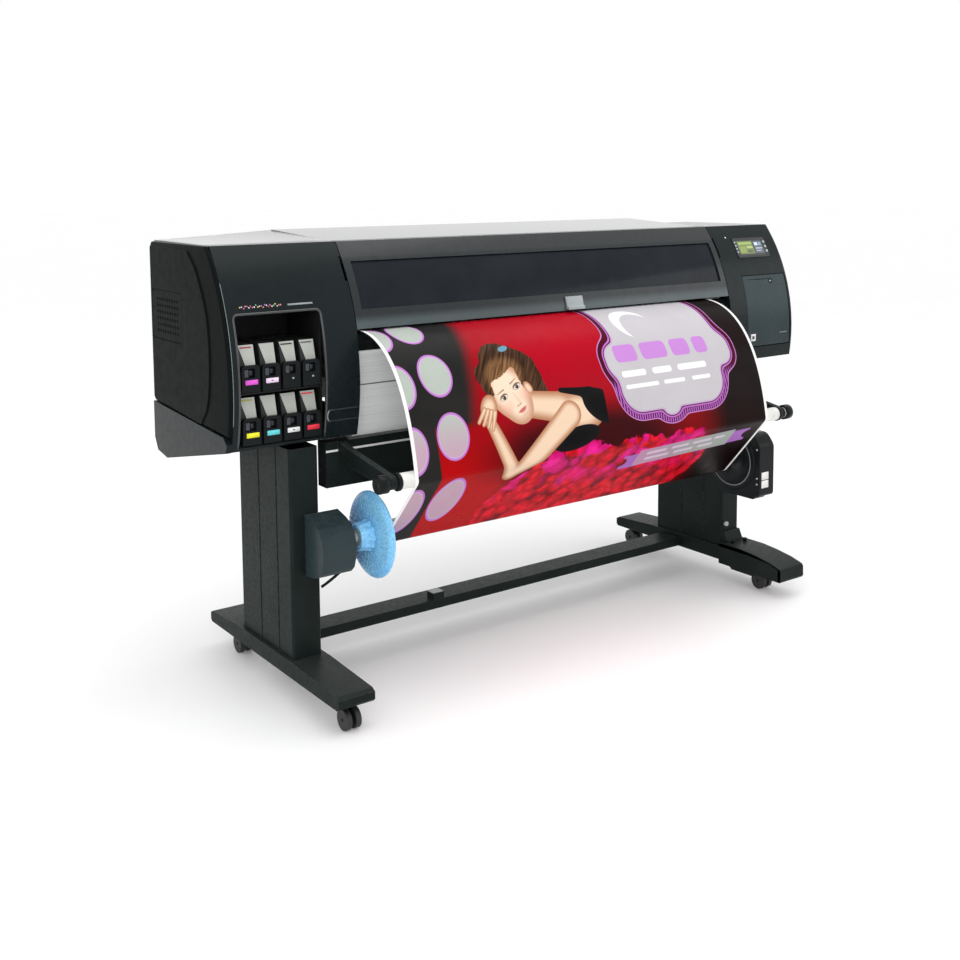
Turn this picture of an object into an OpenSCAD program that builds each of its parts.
/* [Body] */
// Overall width of the body, end cover to end cover
body_w = 2430; // [2400:1:2460]
// Height of the flat top of the end covers above the floor
body_top = 1370; // [1360:1:1376]
// How far the body reaches behind the middle of the stand
body_back = 430; // [426:1:434]
// Radius of the big curve of the front covers
front_r = 660; // [655:1:665]
// Wall of the moulded covers
wall = 6; // [5:0.5:7]
// Width of the ink module at the left end
left_w = 431; // [429:1:433]
// Width of the control module at the right end
right_w = 351; // [349:1:353]

/* [Media] */
// Width of the widest roll
media_w = 1524; // [1500:1:1530]
// Thickness of the printed web
web_t = 1; // [0.8:0.1:1.2]
// Radius of the supply roll at the rear
supply_r = 65; // [50:1:68]
// Radius of the paper wound on the take-up core
wound_r = 34; // [30:1:44]
// Radius of the tension bar tube
bar_r = 24; // [20:1:25]

/* [Ink drawers] */
// Drawers in each of the two rows
drawer_count = 4; // [4]
// Spacing of the drawers
drawer_pitch = 65; // [64:0.5:66]
// Height of one row of drawers
row_h = 154; // [152:1:156]

/* [Stand] */
// Distance between the middles of the two feet
stand_span = 1850; // [1840:1:1860]
// Length of each foot
foot_len = 874; // [860:1:880]
// Radius of the caster wheels
wheel_r = 31; // [29:1:32]
// How far each wheel trails behind its swivel
trail = 40; // [36:1:42]

/* [Take-up] */
// Radius of the large hub at the left of the take-up spindle
hub_r = 133; // [110:1:135]

/* [Hidden] */
$fn = 96;

// clearances
gap = 0.3;
run = 0.05;
eps = 0.01;

// body: x limits of the modules and of the centre between them
x_left = -body_w / 2;
x_right = body_w / 2;
mod_l = x_left + left_w;
mod_r = x_right - right_w;
side_t = 18;
x_cover = x_left + side_t;
// body: centre of the front curve, in y and z
arc_y = 507;
arc_z = body_top - 410;
mod_l_bottom = 783;
mod_r_bottom = 850;
rear_t = 6;

// window and its hinge
win_gap = 3;
win_bottom = 1107;
pane_low = 1165;
pane_high = 1309;
pane_inset = 26;
pane_t = 4;
hinge_y = 24;
hinge_z = body_top - 7;
hinge_bead = 6.5;
hinge_pin_r = 3;
hinge_pin_len = 5;
handle_x = 48;
handle_w = 75;

// top cover
top_front = hinge_y + hinge_bead + 0.7;
top_rise = 24;
top_t = 5;

// carriage way
way_front = -85;
way_back = 108;
way_low = 1103;
way_high = 1325;
rail_y = 70;
rail_low = 1205;
rail_high = 1300;
rail_r = 10;
rail_x0 = -880;
rail_x1 = 1185;
car_w = 220;
car_x = 890;
car_front = -62;
car_back = 45;
car_low = 1112;
car_high = 1250;

// media path
web_z = 1100.5;
platen_back = 105;
platen_front = -92;
feed_y = 130;
feed_r = 20;
pinch_r = 12;
supply_y = 330;
supply_z = 1010;
bar_y = -400;
bar_z = 693;
spool_y = -207;
spool_z = 488;
media_x = -765;
web_off = web_t / 2;
web_lift = 0.4;

// chassis
plate_t = 8;
plate_l = mod_l - plate_t - 10;
plate_r = mod_r + 8;
beam_y0 = 105;
beam_y1 = 225;
beam_z0 = 862;
beam_z1 = 960;
beam_x0 = -1190;
beam_x1 = 1190;
beam_wall = 4;

// stand
stand_mid = -52;
foot_w = 120;
foot_z = 80;
foot_top = 130;
post_w = 96;
post_y0 = -147;
post_y1 = 206;
post_top = 770;
post_wall = 3;
foot_wall = 4;
swivel_y = 352;
stem_r = 8;
axle_r = 5;
wheel_w = 17;
fork_w = 12;

// ink bay
bay_x0 = -1178;
bay_x1 = -898;
bay_low = 790;
bay_high = 1176;
bay_back = 95;
bay_wall = 5;
bay_front = -122;
drawer_w = 60;
drawer_h = 82;
drawer_front = -140;
drawer_z = 797;
bay_mid = (bay_x0 + bay_x1) / 2;

// control panel
panel_x = 1061.5;
panel_w = 184;
panel_h = 86;
panel_t = 16;
panel_z = 1283;
panel_lean = asin((panel_z - arc_z) / front_r);
panel_y = arc_y - front_r * cos(panel_lean);
screen_w = 150;
screen_h = 68;

// door
door_x0 = 957;
door_x1 = 1203;
door_low = 900;
door_high = 1176;
door_gap = 2.5;

// take-up
hub_x = -842;
support_x = -979;
support_w = 112;
support_bore = 40;
motor_x = 800;
motor_w = 92;

// x positions of the two feet, left first
foot_x = [stand_mid - stand_span / 2, stand_mid + stand_span / 2];

// an outline in y and z, carried along x
module along_x(x0, len) {
  translate([x0, 0, 0]) rotate([90, 0, 90]) linear_extrude(len) children();
}

// an outline in x and z, carried towards the front from y0
module along_y(y0, len) {
  translate([0, y0, 0]) rotate([90, 0, 0]) linear_extrude(len) children();
}

// a round bar along x
module rod_x(x0, len, r, y, z) {
  translate([x0, y, z]) rotate([0, 90, 0]) cylinder(h = len, r = r);
}

// a box given by its two corners
module block(a, b) {
  translate(a) cube(b - a);
}

// a rectangle with round corners, from its low corner
module round_rect(w, h, r) {
  translate([r, 0]) square([w - 2 * r, h]);
  translate([0, r]) square([w, h - 2 * r]);
  for (i = [0, 1], j = [0, 1])
    translate([r + i * (w - 2 * r), r + j * (h - 2 * r)]) circle(r);
}

// the body's side outline, drawn in by d
module body_outline(d, low) {
  intersection() {
    translate([arc_y, arc_z]) circle(front_r - d, $fn = 360);
    translate([arc_y - front_r, low])
      square([body_back - rear_t + front_r - arc_y - gap, body_top - d - low]);
  }
}

// a curved skin along the front, between two heights
module front_skin(d0, d1, low, high) {
  difference() {
    intersection() {
      translate([arc_y, arc_z]) circle(front_r - d0, $fn = 360);
      translate([arc_y - front_r - 20, low]) square([front_r - 60, high - low]);
    }
    translate([arc_y, arc_z]) circle(front_r - d1, $fn = 360);
  }
}

// moves children to the middle of the control panel's face, z outwards
module on_panel() {
  translate([panel_x, panel_y, panel_z]) rotate([90 - panel_lean, 0, 0]) children();
}

// ---------- left end ----------

vent_cols = 9;
vent_rows = 6;
seam_front = 828;
seam_back = 859;

module left_side_panel() {
  color("#2b2e30")
  difference() {
    along_x(x_left, side_t - gap) intersection() {
      body_outline(0, 700);
      polygon([[-400, seam_front - 10], [-114, seam_front], [body_back, seam_back],
        [body_back, body_top], [-400, body_top]]);
    }
    along_x(x_left - 1, 3) translate([162, 1062]) round_rect(240, 160, 24);
    for (i = [0 : vent_cols - 1], j = [0 : vent_rows - 1])
      rod_x(x_left - 1, side_t + 2, 6, 202 + i * 20, 1092 + j * 20);
  }
}

module left_front_cover() {
  color("#26292b")
  difference() {
    along_x(x_cover, left_w - side_t) body_outline(0, mod_l_bottom);
    along_x(x_cover + wall, left_w - side_t - 2 * wall) body_outline(wall, mod_l_bottom - 1);
    // below here the end cover and the lower cover make the side
    block([x_cover - 1, -90, 700], [x_cover + wall + eps, body_back, seam_back + 3]);
    // mouth of the ink bay
    block([bay_x0 + 4, -300, bay_low + 2], [bay_x1 - 4, -60, bay_high - 2]);
    // the inner wall is only a front flange
    block([mod_l - wall - 1, 60, 700], [mod_l + 1, body_back, body_top - wall]);
    block([mod_l - wall - 1, way_front, way_low], [mod_l + 1, 61, way_high]);
    rod_x(mod_l - wall - 1, wall + 2, hinge_pin_r + run, hinge_y, hinge_z);
  }
}

// the underside of the ink module, front to back
wedge = [[-128, 782], [323, 687], [400, 700], [424, 740], [424, 856]];
wedge_in = [[418, 856], [418, 742], [397, 706], [322, 693.5], [-128, 788]];

module left_lower_cover() {
  x = foot_x[0] - post_w / 2;
  color("#212425")
  difference() {
    union() {
      along_x(x_left, side_t - gap)
        polygon([[-114, seam_front - 2], [-138, 806], [-128, 782], [323, 687], [400, 700],
          [424, 740], [424, seam_back - 2]]);
      intersection() {
        along_x(x_cover - 1, left_w - side_t + 1) polygon(concat(wedge, wedge_in));
        block([x_cover - 1, -110, 600], [mod_l, body_back, 857]);
      }
      along_x(mod_l - wall, wall)
        polygon([[-100, 777.5], [323, 687], [400, 700], [424, 740], [424, 856], [62, 856], [62, 781],
          [-100, 781]]);
    }
    block([x - 2, post_y0 - 2, 600], [x + post_w + 2, post_y1 + 2, 782]);
    // clear of the front cover
    block([x_cover - gap, -200, mod_l_bottom - gap], [mod_l + 1, -90, 900]);
  }
}

module ink_bay() {
  shelf = drawer_z + row_h - 8;
  color("#141516")
  difference() {
    block([bay_x0, bay_front, bay_low], [bay_x1, bay_back, bay_high]);
    block([bay_x0 + bay_wall, bay_front - 1, bay_low + bay_wall],
      [bay_x1 - bay_wall, bay_back - bay_wall, shelf]);
    block([bay_x0 + bay_wall, bay_front - 1, shelf + bay_wall],
      [bay_x1 - bay_wall, bay_back - bay_wall, bay_high - bay_wall]);
    // front edges follow the cover's curve
    along_x(bay_x0 - 1, bay_x1 - bay_x0 + 2) difference() {
      translate([-300, 700]) square([300, 600]);
      translate([arc_y, arc_z]) circle(front_r - wall - gap, $fn = 360);
    }
  }
}

module ink_drawer(i) {
  col = (i - 1) % drawer_count;
  row = floor((i - 1) / drawer_count);
  x = bay_mid + (col - (drawer_count - 1) / 2) * drawer_pitch - drawer_w / 2;
  z = drawer_z + (1 - row) * row_h;
  translate([x, 0, z]) {
    // tray with its front
    color("#17181a")
    difference() {
      block([0, drawer_front, 0], [drawer_w, 70, drawer_h]);
      block([3, drawer_front + 12, 3], [drawer_w - 3, 67, drawer_h + 1]);
      block([-1, drawer_front + 30, 34], [drawer_w + 1, 71, drawer_h + 1]);
      // finger pull
      block([10, drawer_front - 1, 44], [36, drawer_front + 3.5, 70]);
    }
    // cartridge standing in the tray
    color("#d9dedc")
    along_x(5, drawer_w - 10)
      polygon([[-124, 3.3], [-118, drawer_h], [-104, 137], [62, 137], [62, 3.3]]);
  }
}

// ---------- right end ----------

module right_cover() {
  color("#2a2d2f")
  difference() {
    along_x(mod_r, right_w) body_outline(0, mod_r_bottom);
    along_x(mod_r + wall, right_w - 2 * wall) body_outline(wall, mod_r_bottom + wall);
    // door opening
    block([door_x0 - door_gap, -300, door_low - door_gap], [door_x1 + door_gap, -60, door_high + door_gap]);
    block([mod_r - 1, 60, 700], [mod_r + wall + 1, body_back, body_top - wall]);
    block([mod_r - 1, way_front, way_low], [mod_r + wall + 1, 61, way_high]);
    rod_x(mod_r - 1, wall + 2, hinge_pin_r + run, hinge_y, hinge_z);
    // pocket of the control panel
    on_panel() translate([-panel_w / 2 - gap, -panel_h / 2 - gap, -40])
      cube([panel_w + 2 * gap, panel_h + 2 * gap, 80]);
    // way for the right stand bracket
    block([mod_r - 1, beam_y0 - 2, 800], [foot_x[1] + post_w / 2 + 2, post_y1 + 2, beam_z0]);
  }
}

module control_panel() {
  color("#1b1d1f")
  on_panel() difference() {
    translate([-panel_w / 2, -panel_h / 2, 1.5 - panel_t])
      linear_extrude(panel_t) round_rect(panel_w, panel_h, 8);
    translate([-screen_w / 2 - gap, -screen_h / 2 - gap, -1])
      cube([screen_w + 2 * gap, screen_h + 2 * gap, 5]);
    for (p = menu_keys)
      translate([p.x, p.y, -8]) cylinder(h = 20, r = menu_key_r + gap);
    for (p = nav_keys)
      translate([p.x, p.y, -8]) cylinder(h = 20, r = nav_key_r + gap);
  }
}

module display() {
  color("#5f7f6a")
  on_panel() translate([-screen_w / 2, -screen_h / 2, -1]) cube([screen_w, screen_h, 2]);
}

menu_key_r = 4.2;
nav_key_r = 5.5;
menu_keys = [for (i = [0 : 3]) [-panel_w / 2 + 8, 24 - i * 14]];
nav_keys = [for (i = [0 : 2]) [panel_w / 2 - 8.5, 22 - i * 20]];

module key(p, r) {
  on_panel() translate([p.x, p.y, -6]) cylinder(h = 9, r = r);
}

module menu_key(i) {
  color("#aeb4b2") key(menu_keys[i], menu_key_r);
}

module nav_key(i) {
  color("#dfe6e6") key(nav_keys[i], nav_key_r);
}

module maintenance_door() {
  color("#3a4043")
  difference() {
    union() {
      along_x(door_x0, door_x1 - door_x0) front_skin(0, wall, door_low, door_high);
      // stiffening ribs behind the skin
      for (x = [door_x0 + 20, door_x1 - 26])
        along_x(x, wall) front_skin(wall - eps, 3 * wall, door_low + 20, door_high - 20);
    }
    // finger pocket of the latch
    rod = door_high - 24;
    translate([1115, -140, rod]) rotate([90, 0, 0]) cylinder(h = 60, r = 9, center = true);
  }
}

// ---------- top, rear and frame ----------

module top_cover() {
  color("#313436")
  along_x(mod_l + gap, mod_r - mod_l - 2 * gap)
    polygon([[top_front, body_top - top_t], [top_front, body_top], [body_back, body_top + top_rise],
      [body_back, body_top - 30], [body_back - top_t, body_top - 30],
      [body_back - top_t, body_top + top_rise - top_t - 0.3], [top_front + 2, body_top - top_t]]);
}

module rear_cover() {
  color("#232628")
  difference() {
    along_y(body_back, rear_t) difference() {
      translate([x_left, 860]) square([body_w, body_top - 860]);
      translate([plate_l, 800]) square([plate_r + plate_t - plate_l, 310]);
      translate([mod_l, body_top - 31]) square([mod_r - mod_l, 40]);
      // mains inlet
      translate([1080, 905]) square([48, 30]);
    }
    // the side panels close the corners
    block([x_left - 1, 400, 800], [x_cover, 500, body_top + 1]);
  }
  color("#0e0f10")
  difference() {
    block([1080 + gap, body_back - 28, 905 + gap], [1128 - gap, body_back - 1, 935 - gap]);
    block([1085, body_back - 22, 909], [1123, body_back, 931]);
  }
}

module chassis_beam() {
  color("#8b9094")
  difference() {
    union() {
      block([beam_x0, beam_y0, beam_z0], [beam_x1, beam_y1, beam_z1]);
      // end plates that carry the rollers
      for (x = [plate_l, plate_r])
        along_x(x, plate_t) difference() {
          translate([-50, beam_z1 - 20]) square([450, 380]);
          translate([-51, way_low]) square([way_back + 51, 400]);
          translate([way_back - 1, rail_low - 17]) square([18, 400]);
        }
      // brackets on the stand's posts
      for (x = foot_x)
        block([x - post_w / 2, beam_y0, post_top], [x + post_w / 2, post_y1, beam_z0 + 1]);
    }
    block([beam_x0 - 1, beam_y0 + beam_wall, beam_z0 + beam_wall],
      [beam_x1 + 1, beam_y1 - beam_wall, beam_z1 - beam_wall]);
    // the brackets are folded boxes, open to the front
    for (x = foot_x)
      block([x - post_w / 2 + foot_wall, beam_y0 - 1, post_top + foot_wall],
        [x + post_w / 2 - foot_wall, post_y1 - foot_wall, beam_z0 - foot_wall]);
    rod_x(x_left, body_w, 8 + run, feed_y, web_z - web_off - web_lift - feed_r);
    rod_x(x_left, body_w, 4 + run, feed_y, web_z + web_off + web_lift + pinch_r);
    rod_x(x_left, body_w, 12 + run, supply_y, supply_z);
  }
}

module platen() {
  top = web_z - web_off - web_lift;
  color("#1a1b1c")
  difference() {
    block([mod_l + 1, platen_front, top - 20], [mod_r - 1, platen_back, top]);
    // open underneath
    block([mod_l + 5, platen_front + 4, top - 21], [mod_r - 5, platen_back - 4, top - 8]);
    // groove that the cutter runs along
    block([mod_l, -13, top - 4], [mod_r, -7, top + 1]);
    for (i = [0 : 12], y = [-60, 45])
      translate([-720 + i * 128, y, top - 21]) cylinder(h = 22, r = 3);
  }
  // legs down to the front of the beam
  for (x = [-700, 40, 780])
    block([x, beam_y0 - 20, beam_z1 - 40], [x + 30, beam_y0 - gap, top - 8 + eps]);
}

module output_guide() {
  color("#101112")
  along_x(mod_l + 1, mod_r - mod_l - 2) difference() {
    translate([platen_front, 1058]) circle(38);
    translate([platen_front, 1058]) circle(34);
    translate([platen_front - 0.5, 1000]) square([80, 120]);
    translate([platen_front - 80, 1000]) square([90, 40]);
  }
}

module apron() {
  color("#b9bcc0")
  along_x(mod_l + 1, mod_r - mod_l - 2)
    polygon([[-124, 1038], [-104, 980], [-106, 879], [-94, 770], [-92, 770], [-104, 879], [-102, 980],
      [-122, 1038]]);
}

module carriage_rails() {
  color("#c4c8cb") {
    rod_x(rail_x0, rail_x1 - rail_x0, rail_r, rail_y, rail_low);
    rod_x(rail_x0, rail_x1 - rail_x0, rail_r, rail_y, rail_high);
  }
  // channel behind the rods, with an end bracket at each side
  color("#8b9094") {
    difference() {
      block([rail_x0, way_back + 4, rail_low - 15], [rail_x1, way_back + 16, rail_high + 20]);
      block([rail_x0 - 1, way_back + 3, rail_low - 11], [rail_x1 + 1, way_back + 12, rail_high + 16]);
    }
    for (x = [rail_x0 - 10, rail_x1])
      block([x, rail_y - 20, rail_low - 20], [x + 10, way_back + 16, rail_high + 20]);
  }
}

belt_z = 1252;
module drive_belt() {
  color("#161616")
  difference() {
    along_y(104, 6) hull_loop(rail_x0 + 20, rail_x1 - 20, belt_z, 14);
    along_y(105, 8) hull_loop(rail_x0 + 20, rail_x1 - 20, belt_z, 12);
  }
  color("#8b9094")
  for (x = [rail_x0 + 20, rail_x1 - 20])
    translate([x, 104, belt_z]) rotate([90, 0, 0]) cylinder(h = 6, r = 12 - gap);
}

// a long loop in x and z with round ends
module hull_loop(x0, x1, z, r) {
  translate([x0, z - r]) square([x1 - x0, 2 * r]);
  translate([x0, z]) circle(r);
  translate([x1, z]) circle(r);
}

// ---------- window ----------

module window_frame() {
  x0 = mod_l + win_gap;
  len = mod_r - mod_l - 2 * win_gap;
  color("#2f3335") {
    difference() {
      union() {
        along_x(x0, len) {
          front_skin(0, wall, win_bottom, body_top - 0.5);
          translate([-6, hinge_z - 1]) square([hinge_y + 6, hinge_bead + 1]);
          translate([hinge_y, hinge_z]) circle(hinge_bead);
        }
        rod_x(x0 - hinge_pin_len, len + 2 * hinge_pin_len, hinge_pin_r, hinge_y, hinge_z);
      }
      block([x0 + pane_inset, -300, pane_low], [x0 + len - pane_inset, 0, pane_high]);
    }
  }
}

module window_pane() {
  x0 = mod_l + win_gap;
  len = mod_r - mod_l - 2 * win_gap;
  color("#241f2b")
  along_x(x0 + pane_inset - 10, len - 2 * pane_inset + 20)
    front_skin(wall + 0.2, wall + 0.2 + pane_t, pane_low - 8, pane_high + 8);
}

module window_handle() {
  color("#8f9697")
  along_x(handle_x, handle_w) {
    front_skin(-8, 0, 1120, 1154);
    front_skin(-14, 0, 1110, 1122);
  }
}

// ---------- carriage ----------

module carriage() {
  color("#3b3d40")
  difference() {
    union() {
      block([car_x, car_front, car_low], [car_x + car_w, car_back, car_high]);
      block([car_x, car_back - 1, rail_low - 15], [car_x + car_w, rail_y + 22, rail_high + 16]);
    }
    rod_x(car_x - 1, car_w + 2, rail_r + run, rail_y, rail_low);
    rod_x(car_x - 1, car_w + 2, rail_r + run, rail_y, rail_high);
  }
  // printheads let into the underside
  color("#2060a0")
  for (i = [0 : 3])
    block([car_x + 20 + i * 48, car_front + 12, car_low - 7], [car_x + 56 + i * 48, car_back - 12, car_low]);
}

module cutter() {
  x = car_x + car_w;
  color("#5a5d60")
  difference() {
    block([x, -32, 1110], [x + 28, 12, 1190]);
    block([x + 10, -33, 1109], [x + 18, 13, 1138]);
  }
  color("#c9cdd0")
  rod_x(x + 13, 2, 14, -10, 1119);
  rod_x(x + 10, 8, 3, -10, 1119);
}

// ---------- rollers and rolls ----------

module feed_roller() {
  z = web_z - web_off - web_lift - feed_r;
  color("#3d3f42") {
    rod_x(mod_l + 2, mod_r - mod_l - 4, feed_r, feed_y, z);
    rod_x(plate_l - 6, plate_r + plate_t - plate_l + 12, 8, feed_y, z);
  }
}

module pinch_rollers() {
  z = web_z + web_off + web_lift + pinch_r;
  color("#6b6e72")
  for (i = [0 : 9])
    rod_x(media_x + 30 + i * 158, 40, pinch_r, feed_y, z);
  color("#c4c8cb") rod_x(plate_l - 6, plate_r + plate_t - plate_l + 12, 4, feed_y, z);
}

module feed_spindle() {
  color("#2f5fa8") {
    rod_x(plate_l - 10, plate_r + plate_t - plate_l + 20, 12, supply_y, supply_z);
    rod_x(media_x - 4, 14, supply_r - 4, supply_y, supply_z);
    rod_x(media_x + media_w + gap, 14, supply_r - 4, supply_y, supply_z);
  }
}

module supply_roll() {
  color("#f2f1ec")
  difference() {
    rod_x(media_x + 10 + gap, media_w - 10, supply_r, supply_y, supply_z);
    rod_x(media_x, media_w + 10, 12 + gap, supply_y, supply_z);
  }
}

module takeup_spindle() {
  color("#9aa0a3") {
    x = support_x + support_w - support_bore + 3;
    rod_x(x, motor_x + motor_w - 30 - x, 12, spool_y, spool_z);
    rod_x(support_x + support_w + 1, 25, 16, spool_y, spool_z);
    // plugs that carry the ends of the core
    rod_x(hub_x + 4, 90, 24, spool_y, spool_z);
    rod_x(media_x + media_w - 20, 34, 24, spool_y, spool_z);
  }
}

module takeup_roll() {
  color("#efeee9")
  difference() {
    rod_x(media_x - 3, media_w + 6, wound_r, spool_y, spool_z);
    rod_x(media_x - 4, media_w + 8, 24 + gap, spool_y, spool_z);
  }
}

hub_ribs = 12;
module takeup_hubs() {
  color("#6fb4e6") {
    // collar, disc and rim of the left hub, then the sleeve that meets the roll
    translate([hub_x, spool_y, spool_z]) rotate([0, 90, 0]) rotate_extrude($fn = 128)
      polygon([[24 + gap, 6], [24 + gap, 70], [34, 70], [36, 55], [hub_r - 14, 55], [hub_r, 62], [hub_r, 54],
        [hub_r - 14, 46], [45, 46], [41, 0], [30, 0]]);
    for (i = [0 : hub_ribs - 1])
      translate([hub_x, spool_y, spool_z]) rotate([i * 360 / hub_ribs, 0, 0])
        translate([54.5, -2, 46]) cube([6, 4, hub_r - 62]);
    difference() {
      rod_x(media_x + media_w + 5, 8, 32, spool_y, spool_z);
      rod_x(media_x + media_w, 60, 24 + gap, spool_y, spool_z);
    }
  }
}

arm_x = [-842, 842];
arm_w = 22;
module tension_bar() {
  // a tube on a rod
  color("#e9eae6") difference() {
    rod_x(arm_x[0] + arm_w + 12, arm_x[1] - arm_x[0] - arm_w - 24, bar_r, bar_y, bar_z);
    rod_x(arm_x[0] + arm_w + 16, arm_x[1] - arm_x[0] - arm_w - 32, bar_r - 3, bar_y, bar_z);
  }
  color("#17181a") {
    for (x = [arm_x[0] - 38, arm_x[1] + arm_w + 2])
      rod_x(x, 34, bar_r + 3, bar_y, bar_z);
    rod_x(arm_x[0] - 20, arm_x[1] - arm_x[0] + arm_w + 40, 10, bar_y, bar_z);
    for (x = [arm_x[0] + arm_w + 2, arm_x[1] - 16])
      rod_x(x, 14, bar_r + 3, bar_y, bar_z);
  }
}

module tension_arms() {
  color("#1c1e20") {
    // rail under the body, between the left arm and the right post, open underneath
    difference() {
      block([-884, -112, 625], [foot_x[1] - post_w / 2 - 1, -60, 766]);
      block([-881, -109, 624], [foot_x[1] - post_w / 2 - 4, -63, 763]);
    }
    for (x = arm_x)
      along_x(x, arm_w) difference() {
        union() {
          polygon([[-112, 730], [-190, 700], [bar_y + 5, bar_z - 20], [bar_y - 5, bar_z + 20],
            [-192, 748], [-112, 766]]);
          translate([bar_y, bar_z]) circle(20);
        }
        translate([bar_y, bar_z]) circle(10 + run);
        // the right arm ends on the front of the post
        translate([post_y0 - gap, 700]) square([x > 0 ? 100 : 0.01, 100]);
      }
  }
}

// ---------- printed web ----------

// a point on a cubic curve through four control points
function bezier(p, t) = pow(1 - t, 3) * p[0] + 3 * pow(1 - t, 2) * t * p[1]
  + 3 * (1 - t) * t * t * p[2] + pow(t, 3) * p[3];

// a point on a circle, angle from the rear, turning upwards
function ring(c, r, a) = [c.x + r * cos(a), c.y + r * sin(a)];

bar_c = [bar_y, bar_z];
spool_c = [spool_y, spool_z];
supply_c = [supply_y, supply_z];
bar_wrap = bar_r + web_lift + web_off;
spool_wrap = wound_r + web_lift + web_off;
supply_wrap = supply_r + web_lift + web_off;
// angle at which the straight run leaves the bar and meets the wound roll
run_len = norm(spool_c - bar_c);
run_dir = atan2(spool_c.y - bar_c.y, spool_c.x - bar_c.x);
leave = run_dir + 360 - 90 - asin((spool_wrap - bar_wrap) / run_len);
// angle at which the web leaves the top of the supply roll for the rollers
nip = [feed_y, web_z];
nip_len = norm(nip - supply_c);
nip_dir = atan2(nip.y - supply_c.y, nip.x - supply_c.x);
supply_off = nip_dir - acos(supply_wrap / nip_len);

fall = [[platen_front - 8, web_z], [-270, web_z + 5], [-385, 960], [bar_y - bar_wrap, bar_z]];
web_path = concat(
  [for (i = [0 : 4]) ring(supply_c, supply_wrap, supply_off - (4 - i) * 12)],
  [nip],
  [for (i = [0 : 24]) bezier(fall, i / 24)],
  [for (i = [1 : 4]) ring(bar_c, bar_wrap, 180 + (leave - 180) * i / 4)],
  [for (i = [0 : 8]) ring(spool_c, spool_wrap, leave + (270 - leave) * i / 8)]
);

function along(p, i) = let (a = p[max(i - 1, 0)], b = p[min(i + 1, len(p) - 1)], d = b - a) d / norm(d);
function shifted(p, d) = [for (i = [0 : len(p) - 1]) let (t = along(p, i)) p[i] + d * [-t.y, t.x]];
function reversed(p) = [for (i = [len(p) - 1 : -1 : 0]) p[i]];

module media_web() {
  color("#c81f4a")
  along_x(media_x, media_w)
    polygon(concat(shifted(web_path, web_off), reversed(shifted(web_path, -web_off))));
}

module rear_roll_cradle() {
  reach = foot_len / 2;
  color("#1f2123")
  along_x(plate_l + plate_t + 1, plate_r - plate_l - plate_t - 2)
    polygon([[beam_y1 + gap, 930], [beam_y1 + gap, 900], [reach - 14, 900], [reach, 914], [reach, 936], [reach - 5, 936],
      [reach - 5, 916], [reach - 16, 905], [beam_y1 + 6, 905], [beam_y1 + 6, 930]]);
  color("#1f2123")
  for (x = [-700, 0, 740])
    along_x(x, 24)
      polygon([[beam_y1 + gap, 868], [beam_y1 + gap, 899.9], [reach - 40, 899.9], [beam_y1 + 60, 868]]);
}

// ---------- stand ----------

module stand_posts() {
  color("#2b2d2f")
  for (x = foot_x)
    difference() {
      translate([x - post_w / 2, post_y0, foot_top - 1])
      linear_extrude(post_top - foot_top + 1) difference() {
        round_rect(post_w, post_y1 - post_y0, 10);
        translate([post_wall, post_wall])
          round_rect(post_w - 2 * post_wall, post_y1 - post_y0 - 2 * post_wall, 10 - post_wall / 2);
      }
      // grooves down both broad faces
      for (s = [-1, 1], y = [post_y0 + 90, post_y0 + 210])
        translate([x + s * post_w / 2, y, foot_top - 2])
          linear_extrude(post_top) square([4, 12], center = true);
    }
}

module stand_feet() {
  color("#26282a")
  for (x = foot_x)
    difference() {
      along_x(x - foot_w / 2, foot_w)
        polygon([[-foot_len / 2 + 8, foot_z], [-foot_len / 2, foot_z + 8], [-foot_len / 2, foot_z + 30],
          [-foot_len / 2 + 14, foot_z + 38], [post_y0 - 30, foot_top], [post_y1 + 20, foot_top],
          [foot_len / 2 - 14, foot_z + 38], [foot_len / 2, foot_z + 30], [foot_len / 2, foot_z + 8],
          [foot_len / 2 - 8, foot_z]]);
      // open underneath, like a folded channel
      along_x(x - foot_w / 2 + foot_wall, foot_w - 2 * foot_wall)
        polygon([[-swivel_y + 32, foot_z - 1], [-swivel_y + 32, foot_z + 20], [post_y0 - 30, foot_top - foot_wall],
          [post_y1 + 20, foot_top - foot_wall], [swivel_y - 32, foot_z + 20], [swivel_y - 32, foot_z - 1]]);
      for (s = [-1, 1])
        translate([x, s * swivel_y, foot_z - 1]) cylinder(h = 26, r = stem_r + run);
      translate([x - post_w / 2, post_y0, foot_top - 1])
        linear_extrude(10) round_rect(post_w, post_y1 - post_y0, 10);
    }
  // sloping cover over the bolts in front of the right post
  color("#1f2123")
  along_x(foot_x[1] - 43, 86)
    polygon([[post_y0 - 34, foot_top - 1], [post_y0 - 34, foot_top + 10], [post_y0 - 12, foot_top + 58],
      [post_y0 - gap, foot_top + 58], [post_y0 - gap, foot_top - 1]]);
}

module crossbar() {
  x0 = foot_x[0] + foot_w / 2;
  x1 = foot_x[1] - foot_w / 2;
  color("#26282a")
  difference() {
    block([x0, 60, 84], [x1, 160, 116]);
    block([x0 + 3, 64, 83], [x1 - 3, 156, 112]);
  }
  // clip on the bar
  color("#4a4d50")
  block([-385, 56, 116], [-343, 100, 140]);
}

// which way each caster's wheel lies from its swivel, left front first
caster_dir = [-1, -1, 1, 1];
caster_side = [0, 0, 1, 1];
caster_end = [-1, 1, -1, 1];

module at_caster(i) {
  translate([foot_x[caster_side[i]], caster_end[i] * swivel_y, 0]) children();
}

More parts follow.
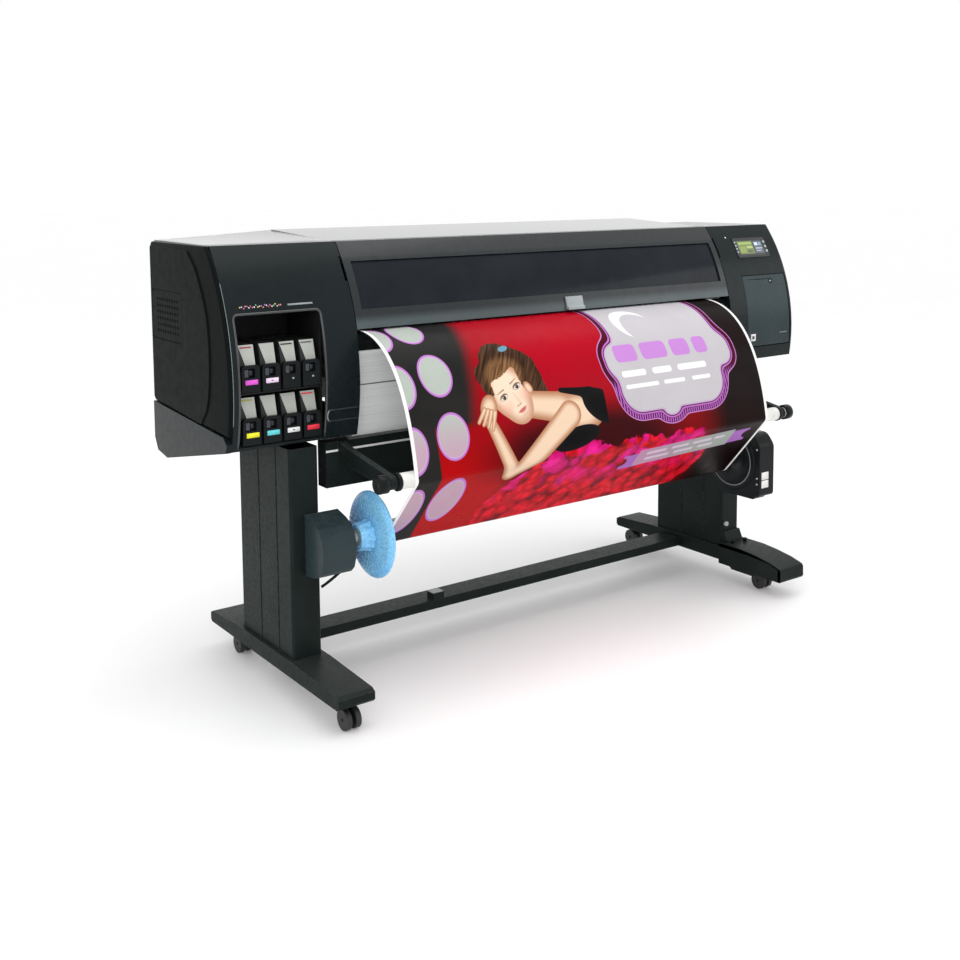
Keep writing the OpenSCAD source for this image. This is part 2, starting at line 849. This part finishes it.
module caster_fork(i) {
  y = caster_dir[i] * trail;
  color("#131415")
  at_caster(i) {
    translate([0, 0, foot_z - 4]) cylinder(h = 26, r = stem_r);
    translate([0, 0, foot_z - 10]) cylinder(h = 9.5, r = 24);
    along_x(-fork_w / 2, fork_w) union() {
      translate([y, wheel_r]) circle(14);
      polygon([[-20, foot_z - 9], [20, foot_z - 9], [y + 12, wheel_r], [y - 12, wheel_r]]);
    }
    rod_x(-fork_w / 2 - wheel_w + 3, fork_w + 2 * wheel_w - 6, axle_r, y, wheel_r);
  }
}

module caster_wheel(i) {
  y = caster_dir[i] * trail;
  color("#1a1a1b")
  at_caster(i) for (s = [-1, 1]) {
    x = s > 0 ? fork_w / 2 + 0.5 : -fork_w / 2 - wheel_w - 0.5;
    difference() {
      rod_x(x, wheel_w, wheel_r, y, wheel_r);
      rod_x(x - 1, wheel_w + 2, axle_r + run, y, wheel_r);
    }
  }
}

// ---------- take-up reel ----------

module takeup_support() {
  // bearing housing on the front of the left post
  color("#17181a")
  difference() {
    along_x(support_x, support_w)
      polygon([[post_y0 - gap, 380], [post_y0 - gap, 568], [-194, 556], [-231, 541], [-252, 512], [-259, 480],
        [-258, 449], [-245, 412], [-225, 395], [-192, 386]]);
    rod_x(support_x + support_w - support_bore, support_bore + 1, 12 + run, spool_y, spool_z);
  }
}

module takeup_motor_unit() {
  color("#17181a")
  difference() {
    union() {
      rod_x(motor_x + 6, motor_w - 12, 118, spool_y, spool_z);
      along_x(motor_x + 12, motor_w - 12) translate([-345, 366]) round_rect(150, 232, 30);
      block([motor_x + 30, spool_y, 400], [motor_x + motor_w - 10, post_y0 - gap, 575]);
    }
    rod_x(motor_x, motor_w - 27, 12 + run, spool_y, spool_z);
    // room for the right post
    block([foot_x[1] - post_w / 2 - 1, post_y0 - gap, 300], [motor_x + motor_w + 1, 0, 700]);
  }
}

left_side_panel();
left_front_cover();
left_lower_cover();
ink_bay();
right_cover();
top_cover();
rear_cover();
chassis_beam();
platen();
output_guide();
apron();
carriage_rails();
drive_belt();
control_panel();
display();
stand_posts();
stand_feet();
crossbar();
takeup_support();
takeup_motor_unit();
tension_arms();
rear_roll_cradle();
media_web();
window_frame();
window_pane();
window_handle();
maintenance_door();
carriage();
cutter();
feed_roller();
pinch_rollers();
feed_spindle();
supply_roll();
takeup_spindle();
takeup_roll();
takeup_hubs();
tension_bar();
for (i = [1 : 8])
  ink_drawer(i);
for (i = [1 : 4])
  caster_fork(i - 1);
for (i = [1 : 4])
  caster_wheel(i - 1);
for (i = [1 : 4])
  menu_key(i - 1);
for (i = [1 : 3])
  nav_key(i - 1);
